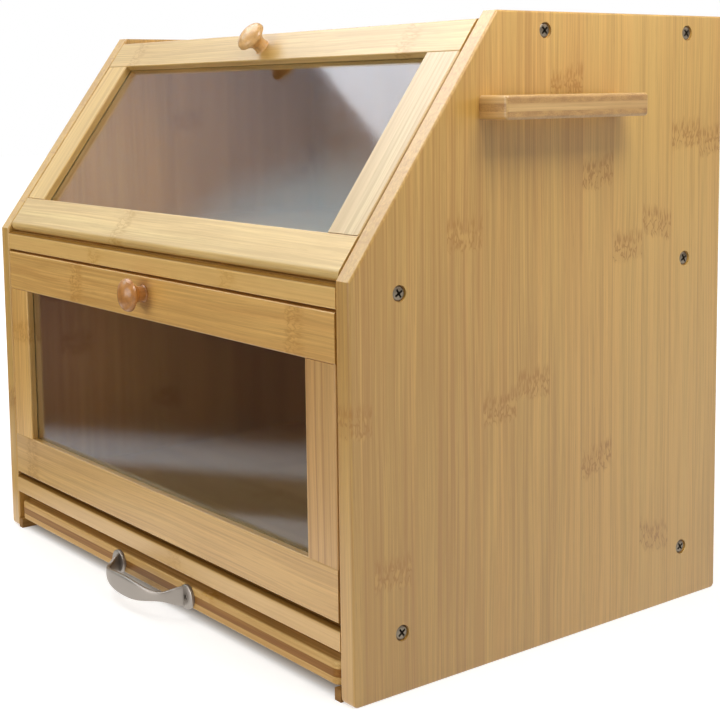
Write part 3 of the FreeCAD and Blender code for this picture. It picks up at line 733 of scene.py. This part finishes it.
class DressPanes(Operator):
    """Window panes: clear acrylic sheet"""
    bl_idname = "bread_box.panes"
    bl_label = "Window panes"

    def execute(self, context):
        pane = clear_acrylic("clear_cast_acrylic", colours().pane)
        dress("upper_window", pane)
        dress("lower_window", pane)
        return {"FINISHED"}


class DressKnobs(Operator):
    """Knobs: turned wood"""
    bl_idname = "bread_box.knobs"
    bl_label = "Knobs"

    def execute(self, context):
        for door, base, axis in (("upper", colours().knob_upper, lean()[1]),
                                 ("lower", colours().knob_lower, -BACK)):
            dress(f"{door}_knob", turned_wood(f"turned_beech_{door}", base, axis))
        return {"FINISHED"}


class DressKnifeHolder(Operator):
    """Knife holder: three crossed bamboo plies"""
    bl_idname = "bread_box.knife_holder"
    bl_label = "Knife holder"

    def execute(self, context):
        low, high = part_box("knife_holder")
        middle, half_ply = (low.z + high.z) / 2, (high.z - low.z) / 6
        dress_bamboo("knife_holder", "lacquered", colours().holder, BACK, RIGHT, {}, 61,
                     cross_ply=(middle * MM_PER_METRE, half_ply * MM_PER_METRE))
        return {"FINISHED"}


class DressBoard(Operator):
    """Cutting board: two bamboo plies with a crossed core between them"""
    bl_idname = "bread_box.board"
    bl_label = "Cutting board"

    def execute(self, context):
        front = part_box("board_top_ply")[0].y * MM_PER_METRE
        for node, seed in (("board_top_ply", 71), ("board_bottom_ply", 72)):
            dress_bamboo(node, "oiled", colours().board, RIGHT, BACK, random_marks(seed),
                         seed, sizes().strip_width, front, contrast=1.7,
                         stripe_strength=1.2, **DULL)
        dress_bamboo("board_core_ply", "oiled", colours().core, RIGHT, BACK, {}, 73,
                     contrast=2.2, stripe_strength=1.3, **DULL)
        return {"FINISHED"}


BOW_STEPS = 28  # steps along half the bow, and round the strap
FALL_STEPS = 12  # steps from the bow's end down onto the flange
FLANGE_STEPS = 64
BOW_END = math.radians(67.0)  # where the strap leaves its bow for the flange
SQUARENESS = 2 / 2.7  # an oval that is a little flat in front
STRAP_FOOT = 2.6 * MILLIMETRE  # its end, inward of the flange's middle
STRAP_FOOT_HEIGHT = 1.3 * MILLIMETRE
BEATEN_FROM, BEATEN_LENGTH = 0.80, 0.20  # shares of the strap that are beaten thin
BEATEN_AWAY = 0.42
WIDTH_BLUR = (-0.06, -0.03, 0.0, 0.03, 0.06)  # shares over which its width is evened
EDGE_ROUNDNESS = 0.42  # of the strap's thickness
FLAT_REACH = 1.6  # how soon round the section its flat faces end
FLANGE_THICKNESS = 2.2 * MILLIMETRE


def strap_stations(flange_offset, flange_radius):
    """Half the strap, from its middle: each point, its normal, half width and thickness.

    The points go out along the bow and down onto the flange, in a plane of their own.
    """
    size = sizes()
    span, thick, reach = size.handle_half_span, size.strap_thickness, size.handle_reach
    reach -= thick / 2
    grip, neck = size.grip_half_width, size.neck_half_width
    angles = [BOW_END * i / BOW_STEPS for i in range(BOW_STEPS + 1)]
    path = [Vector((span * math.sin(a) ** SQUARENESS, reach * math.cos(a) ** SQUARENESS))
            for a in angles]
    start, end = path[-1], Vector((flange_offset - STRAP_FOOT, STRAP_FOOT_HEIGHT))
    tangent = (start - path[-2]).normalized()
    corner = start + tangent * ((start.y - end.y) / -tangent.y)
    for i in range(1, FALL_STEPS + 1):
        t = i / FALL_STEPS
        path.append(start * (1 - t) ** 2 + corner * (2 * t * (1 - t)) + end * t ** 2)
    runs = [0.0]
    for a, b in zip(path, path[1:]):
        runs.append(runs[-1] + (b - a).length)
    # half widths at shares of the way: a full grip, a narrow neck and a fan
    widths = (
        (0.0, grip), (0.14, 0.97 * grip), (0.31, 0.86 * grip), (0.46, 0.66 * grip),
        (0.58, 1.2 * neck), (0.68, neck), (0.76, 1.15 * neck), (0.86, 1.9 * neck),
        (1.0, 0.88 * flange_radius),
    )

    def half_width(share):
        for (s0, w0), (s1, w1) in zip(widths, widths[1:]):
            if share <= s1:
                return w0 + (w1 - w0) * (share - s0) / (s1 - s0)
        return widths[-1][1]

    stations = []
    for i, point in enumerate(path):
        before, after = path[max(i - 1, 0)], path[min(i + 1, len(path) - 1)]
        direction = (after - before).normalized() if i else Vector((1, 0))
        share = runs[i] / runs[-1]
        near = [half_width(min(abs(share + step), 1.0)) for step in WIDTH_BLUR]
        beaten = thick * (1.0 - BEATEN_AWAY * max(share - BEATEN_FROM, 0.0) / BEATEN_LENGTH)
        stations.append((point, Vector((-direction.y, direction.x)), sum(near) / len(near),
                         beaten))
    return stations


def strap_section(middle, point, normal, half, thin):
    """A flat oval with full round edges, across the strap."""
    ring = []
    round_edge = EDGE_ROUNDNESS * thin
    for angle in round_angles(BOW_STEPS):
        c, s = math.cos(angle), math.sin(angle)
        flat = math.copysign(min(abs(c) * FLAT_REACH, 1.0), c) * (half - round_edge)
        away = math.copysign(abs(s) ** 0.5, s) * thin / 2
        spot = point + normal * away
        ring.append(middle + Vector((spot.x, -spot.y, flat + c * round_edge)))
    return ring


def flange_rings(face, radius):
    """A round foot, a little domed, with a seat for its screw."""
    place = frame_toward(face, -BACK)
    profile = (
        (1.0, 0.0), (1.0, 0.62), (0.985, 0.80), (0.94, 0.92), (0.86, 1.0), (0.62, 1.04),
        (0.40, 1.05), (0.37, 1.00), (0.34, 0.70), (0.20, 0.30),
    )
    return [[around(place, angle, r * radius, h * FLANGE_THICKNESS)
             for angle in round_angles(FLANGE_STEPS)] for r, h in profile]


class MakeStrapHandle(Operator):
    """Strap handle: a bowed satin nickel strap that flares into two round feet"""
    bl_idname = "bread_box.strap_handle"
    bl_label = "Strap handle"

    def execute(self, context):
        low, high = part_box("strap_handle")
        flange_radius = (high.z - low.z) / 2
        flange_offset = (high.x - low.x) / 2 - flange_radius
        middle = Vector(((low.x + high.x) / 2, high.y, (low.z + high.z) / 2))
        right = strap_stations(flange_offset, flange_radius)
        left = [(Vector((-p.x, p.y)), Vector((-n.x, n.y)), w, t)
                for p, n, w, t in reversed(right[1:])]
        bm = bmesh.new()
        loft(bm, [strap_section(middle, *station) for station in left + right])
        for side in (-1, 1):
            face = middle + Vector((side * flange_offset, 0, 0))
            loft(bm, flange_rings(face, flange_radius))
        nickel = metal("satin_nickel_plated_zinc", colours().nickel, 0.44, 0.05, 60.0, 0.03)
        piece = make_piece("satin_strap_handle", bm, "cutting_board", nickel)
        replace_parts(piece, "strap_handle")
        return {"FINISHED"}


def screw_places(node):
    """Where each screw of a CAD node is: the boxes of its mesh's parts, in order."""
    bm = bmesh.new()
    bm.from_mesh(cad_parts[node].data)
    bmesh.ops.remove_doubles(bm, verts=bm.verts, dist=1e-6)
    left = set(bm.verts)
    found = []
    while left:
        part, edge = set(), [left.pop()]
        while edge:
            vert = edge.pop()
            part.add(vert)
            for link in vert.link_edges:
                other = link.other_vert(vert)
                if other in left:
                    left.discard(other)
                    edge.append(other)
        corners = [vert.co.copy() for vert in part]
        found.append(tuple(Vector(pick(c[i] for c in corners) for i in range(3))
                           for pick in (min, max)))
    bm.free()
    return sorted(found, key=lambda box: tuple(box[0]))


HEAD_ALLOWANCE = 0.5 * MILLIMETRE  # the heads press their rims into the wood
CROWN = 0.75 * MILLIMETRE  # how far a raised head's middle stands over its rim
SHANK_SHARE = 0.52  # of the head's radius
SCREW_TURNS = (28, 62)  # degrees at which the crosses may come to rest


def make_screws(name, node, outward, crown, body, material, seed):
    """Cross-recess screws in the places of a CAD node's screws."""
    draw = random.Random(seed)
    axis = max(range(3), key=lambda i: abs(outward[i]))
    sides = [i for i in range(3) if i != axis]
    bm = bmesh.new()
    for low, high in screw_places(node):
        head = (low + high) / 2
        head[axis] = high[axis] if outward[axis] > 0 else low[axis]
        radius = max(high[i] - low[i] for i in sides) / 2 + HEAD_ALLOWANCE
        place = frame_toward(head, outward, math.radians(draw.uniform(*SCREW_TURNS)))
        loft(bm, screw_rings(radius, SHANK_SHARE * radius, high[axis] - low[axis], crown,
                             place))
    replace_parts(make_piece(name, bm, body, material), node)


class MakeScrews(Operator):
    """Visible screws: countersunk, zinc or nickel plated, with a cross recess"""
    bl_idname = "bread_box.screws"
    bl_label = "Visible screws"

    def execute(self, context):
        zinc = metal("zinc_plated_steel", colours().zinc, 0.34, 0.12, 420.0, 0.06)
        nickel = metal("nickel_plated_steel", colours().nickel, 0.30, 0.08, 420.0, 0.05)
        seed = sizes().screw_seed
        make_screws("right_side_screws", "right_panel_screws", RIGHT, CROWN, "carcass", zinc,
                    seed)
        make_screws("left_side_screws", "left_panel_screws", -RIGHT, CROWN, "carcass", zinc,
                    seed + 1)
        make_screws("strap_handle_screws", "handle_screws", -BACK, 0.0, "cutting_board",
                    nickel, seed + 2)
        return {"FINISHED"}


class DressHiddenMetal(Operator):
    """Pins, catches and the screws inside"""
    bl_idname = "bread_box.hidden_metal"
    bl_label = "Pins, catches and inner screws"

    def execute(self, context):
        steel = metal("bright_zinc_plated_steel", colours().zinc, 0.30, 0.08, 300.0, 0.05)
        magnet = metal("nickel_plated_magnet", colours().nickel, 0.20, 0.04, 200.0, 0.04)
        for door in ("upper", "lower"):
            for part in ("hinge_pins", "strike_discs", "knob_screw"):
                dress(f"{door}_{part}", steel)
            dress(f"{door}_catch_magnets", magnet)
        dress("runner_screws", steel)
        dress("knife_holder_screws", steel)
        return {"FINISHED"}


# ---- stage
CAMERA_PLACE = Vector((0.7237, -0.5382, 0.3051))
CAMERA_YAW = math.radians(53.13)
CAMERA_PITCH = math.radians(6.27)
CAMERA_ROLL = math.radians(-0.84)
CAMERA_LENS = 70.8
CAMERA_SENSOR = 36.0
CAMERA_SHIFT = (0.0417, -0.1556)


def add_camera():
    """A camera at a low three-quarter view of the front and the right side."""
    back = Vector((math.sin(CAMERA_YAW) * math.cos(CAMERA_PITCH),
                   -math.cos(CAMERA_YAW) * math.cos(CAMERA_PITCH), math.sin(CAMERA_PITCH)))
    right = Vector((math.cos(CAMERA_YAW), math.sin(CAMERA_YAW), 0))
    up = back.cross(right)
    turned_right = right * math.cos(CAMERA_ROLL) + up * math.sin(CAMERA_ROLL)
    turned_up = up * math.cos(CAMERA_ROLL) - right * math.sin(CAMERA_ROLL)
    data = bpy.data.cameras.new("camera")
    data.lens, data.sensor_width = CAMERA_LENS, CAMERA_SENSOR
    data.shift_x, data.shift_y = CAMERA_SHIFT
    camera = add_object("camera", data)
    camera.matrix_world = axes_at(CAMERA_PLACE, turned_right, turned_up, back)
    bpy.context.scene.camera = camera


def add_softbox(name, place, edge, way, size, radiance, colour, mirrored):
    """A rectangular soft light, as bright as its radiance where a mirror shows it."""
    data = bpy.data.lights.new(name, "AREA")
    data.shape = "RECTANGLE"
    width, height = data.size, data.size_y = size
    data.energy = radiance * width * height * math.pi
    data.color = colour
    light = add_object(name, data)
    edge = edge.normalized()
    normal = (way - edge * way.dot(edge)).normalized()
    light.matrix_world = axes_at(place, edge, (-normal).cross(edge), -normal)
    light.visible_camera = False
    light.visible_glossy = light.visible_transmission = mirrored


def softboxes():
    """Each light's name, place, edge, way, size, radiance, colour, and if mirrors show it."""
    left_edge, left_way = Vector((0.724, -0.683, -0.10)), Vector((0.474, 0.598, -0.645))
    left_rise = (-left_way).cross(left_edge).normalized()
    left_foot = Vector((-1.08, -0.339, 1.174))
    right, rear = Vector((0.40, -0.02, 0.64)), Vector((0.62, 0.62, 0.55))
    front = Vector((-0.3, -1.85, 0.42))
    return (
        # overhead left: its lower edge shows in the leaning pane
        ("left_softbox", left_foot + left_rise * 0.5, left_edge, left_way, (1.5, 1.0), 3.3,
         (0.97, 1.0, 1.05), True),
        # overhead right: lights the side panel from above
        ("right_softbox", right, BACK, Vector((0.21, 0.0, 0.30)) - right, (0.25, 0.25), 9.1,
         (1.0, 0.99, 0.97), True),
        # behind and to the right: a weak light that lifts the side panel's back
        ("rear_softbox", rear, BACK, Vector((0.21, 0.03, 0.18)) - rear, (0.5, 0.5), 1.05,
         (1.0, 0.99, 0.97), True),
        # in front: a wide weak fill for the doors, low, so that the gaps stay dark
        ("front_softbox", front, RIGHT, Vector((0.0, -0.1, 0.2)) - front, (1.4, 0.8), 3.4,
         (1.0, 0.98, 0.95), True),
        # what the white table throws through the panes onto the left panel's inner face
        ("lower_bounce", Vector((-0.13, -0.070, 0.12)), BACK, -RIGHT, (0.05, 0.10), 0.72,
         (1.0, 0.74, 0.82), False),
        ("upper_bounce", Vector((-0.05, -0.045, 0.245)), BACK, -RIGHT, (0.05, 0.04), 5.0,
         (1.0, 0.66, 0.46), False),
    )


def ramp_stops(stops, lift=1.0):
    """A ramp's stops in linear colours, with all but its two ends lifted."""
    return [(place, shade(linear(hue), (lift if 0.0 < place < 1.0 else 1.0,) * 3))
            for place, hue in stops]


# what glossy surfaces show of the room, from straight down, 0, to straight up, 1
ROOM = (
    (0.0, "#2E241C"), (0.48, "#3E3A38"), (0.53, "#5A4E46"), (0.66, "#8E7C6A"),
    (0.70, "#FFCC94"), (0.717, "#FFDCB0"), (0.730, "#F2CCA4"), (0.740, "#C4B2A2"),
    (0.762, "#B4A69A"), (0.775, "#787C7A"), (0.783, "#485658"), (0.805, "#5E6A6C"),
    (0.83, "#B8B4B0"), (1.0, "#D8D4D0"),
)
ROOM_LIFT = 1.15
BACKDROP_WAY = (-0.8, 0.6, 0.0)  # from the object to the white backdrop behind it
NEAR_WALL = "#CBC5BE"
WINDOW_WAY = (-0.75, -0.433, 0.5)
WINDOW_LIGHT = (2.2, 3.0, 3.2)
ROOM_FILL = (0.302, 0.299, 0.295, 1.0)  # the light that the room gives
WHITE = "#FFFFFF"


def set_world():
    """A soft even room: white behind the box, dim in front of it."""
    world = bpy.data.worlds.new("studio")
    world.use_nodes = True
    world.node_tree.nodes.clear()
    node = partial(add_node, world.node_tree)
    rays = node("LightPath").node.outputs
    way = node("TexCoord", output="Generated")
    behind, height, toward_window = (
        node("VectorMath DOT_PRODUCT", (way, axis), "Value")
        for axis in (BACKDROP_WAY, UP, WINDOW_WAY))
    room = node("ValToRGB", (node("MapRange", (height, -1.0, 1.0)),),
                stops=ramp_stops(ROOM, ROOM_LIFT))
    white = linear(WHITE)
    # the wall in front of the box, a window and the backdrop, with the cosines of each edge
    for along, start, end, colour in (
            (behind, -0.2, -0.7, linear(NEAR_WALL)),
            (toward_window, 0.972, 0.983, shade(white, WINDOW_LIGHT)),
            (behind, 0.72, 0.86, white)):
        share = node("MapRange", (along, start, end))
        room = node("Mix RGBA", {0: share, 6: room, 7: colour}, 2)
    seen = node("MAXIMUM", (rays["Is Camera Ray"], rays["Is Transmission Ray"]))
    colour = node("Mix RGBA", {0: rays["Is Glossy Ray"], 6: ROOM_FILL, 7: room}, 2)
    colour = node("Mix RGBA", {0: seen, 6: colour, 7: white}, 2)
    node("OutputWorld", (node("Background", (colour, 1.0)),))
    bpy.context.scene.world = world


# what glossy surfaces show of the table, from far in front, 0, to under the box, 1
TABLE_ZONES = (
    (0.0, "#2C2E3E"), (0.45, "#343238"), (0.50, "#4E4C48"), (0.55, "#D0D4D6"),
    (0.60, "#EAF0F2"), (0.63, "#8C7E66"), (0.715, "#84765E"), (0.728, "#FFFAF4"),
    (1.0, "#FFFAF4"),
)
TABLE_WAY = (0.56, 0.83, 0.0)  # along which the zones lie
TABLE_GLOSS = 1.15  # how bright glossy surfaces show them
TABLE_COLOUR = "#CFCDC9"
TABLE_HALF_SIDE = 6.0  # m
FROM_SHADOW_MIDDLE = (0.01, -0.013, 0.0)  # m, added to places
FROM_SHADOW_SIDES = (-0.188, -0.128, 0.0)  # m, added to how far they are from its middle
NEAR_GLOW = (0.0, 0.014, 0.08, 0.62)  # from and to m outside it, and how strong there: the painted shadow's fade
FAR_GLOW = (0.12, 0.70, 0.0, 0.36)


def add_floor():
    """A pale table: white where the camera sees it, but for the box's shadow, partly real and
    partly painted.
    """
    material, node = start_material("pale_paper_table")
    rays = node("LightPath").node.outputs
    places = node("TexCoord", output="Object")
    reach = node("VectorMath DOT_PRODUCT", (places, TABLE_WAY), "Value")
    zones = node("ValToRGB", (node("MapRange", (reach, -1.0, 0.0)),),
                 stops=ramp_stops(TABLE_ZONES))
    paper = node("BsdfDiffuse", {"Color": linear(TABLE_COLOUR)})
    # white but for the box's faint shadow, darkest underneath: the glow is made weaker toward
    # the box's footprint, a painted shadow over the real one
    out = node("VectorMath ADD", (places, FROM_SHADOW_MIDDLE))
    out = node("VectorMath ABSOLUTE", (out,))
    out = node("VectorMath ADD", (out, FROM_SHADOW_SIDES))
    out = node("VectorMath MAXIMUM", (out, (0.0, 0.0, 0.0)))
    out = node("VectorMath LENGTH", (out,), "Value")
    near = node("MapRange", (out, *NEAR_GLOW), interpolation_type="SMOOTHSTEP")
    far = node("MapRange", (out, *FAR_GLOW))
    glow = node("Emission", {"Color": linear(WHITE), "Strength": node("ADD", (near, far))})
    lit = node("AddShader", (paper, glow))
    mirrored = node("Emission", {"Color": zones, "Strength": TABLE_GLOSS})
    seen = node("MixShader", (rays["Is Camera Ray"], paper, lit))
    node("OutputMaterial", (node("MixShader", (rays["Is Glossy Ray"], seen, mirrored)),))
    bm = bmesh.new()
    bm.faces.new([bm.verts.new((x * TABLE_HALF_SIDE, y * TABLE_HALF_SIDE, 0.0))
                  for x, y in ((-1, -1), (1, -1), (1, 1), (-1, 1))])
    finish_mesh("table", bm, material)


class SetStage(Operator):
    """Camera, soft lights, white surroundings and table"""
    bl_idname = "bread_box.stage"
    bl_label = "Stage"

    def execute(self, context):
        context.scene.view_settings.view_transform = "Standard"
        add_camera()
        set_world()
        add_floor()
        for softbox in softboxes():
            add_softbox(*softbox)
        return {"FINISHED"}


class BreadBoxPanel(Panel):
    """The pieces of the bread box"""
    bl_idname = "VIEW3D_PT_bread_box"
    bl_label = "Bread Box"
    bl_space_type = "VIEW_3D"
    bl_region_type = "UI"
    bl_category = "Bread Box"

    def draw(self, context):
        for operator in OPERATORS:
            self.layout.operator(operator.bl_idname)
        for group in (colours(), sizes()):
            box = self.layout.box()
            for name in group.__annotations__:
                box.prop(group, name)


OPERATORS = (
    SetStage, DressSidePanels, DressLevelPanels, DressRunners, DressLowerDoor,
    DressUpperDoor, DressPanes, DressKnobs, DressKnifeHolder, DressBoard, MakeStrapHandle,
    MakeScrews, DressHiddenMetal,
)
CLASSES = (BreadBoxColours, BreadBoxSizes, *OPERATORS, BreadBoxPanel)


def register():
    for each in CLASSES:
        bpy.utils.register_class(each)
    bpy.types.Scene.bread_box_colours = PointerProperty(type=BreadBoxColours)
    bpy.types.Scene.bread_box_sizes = PointerProperty(type=BreadBoxSizes)


def unregister():
    del bpy.types.Scene.bread_box_sizes
    del bpy.types.Scene.bread_box_colours
    for each in reversed(CLASSES):
        bpy.utils.unregister_class(each)


def main():
    """Registers the add-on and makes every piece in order."""
    register()
    for operator in OPERATORS:
        getattr(bpy.ops.bread_box, operator.bl_idname.split(".")[1])()


if __name__ == "__main__":
    main()
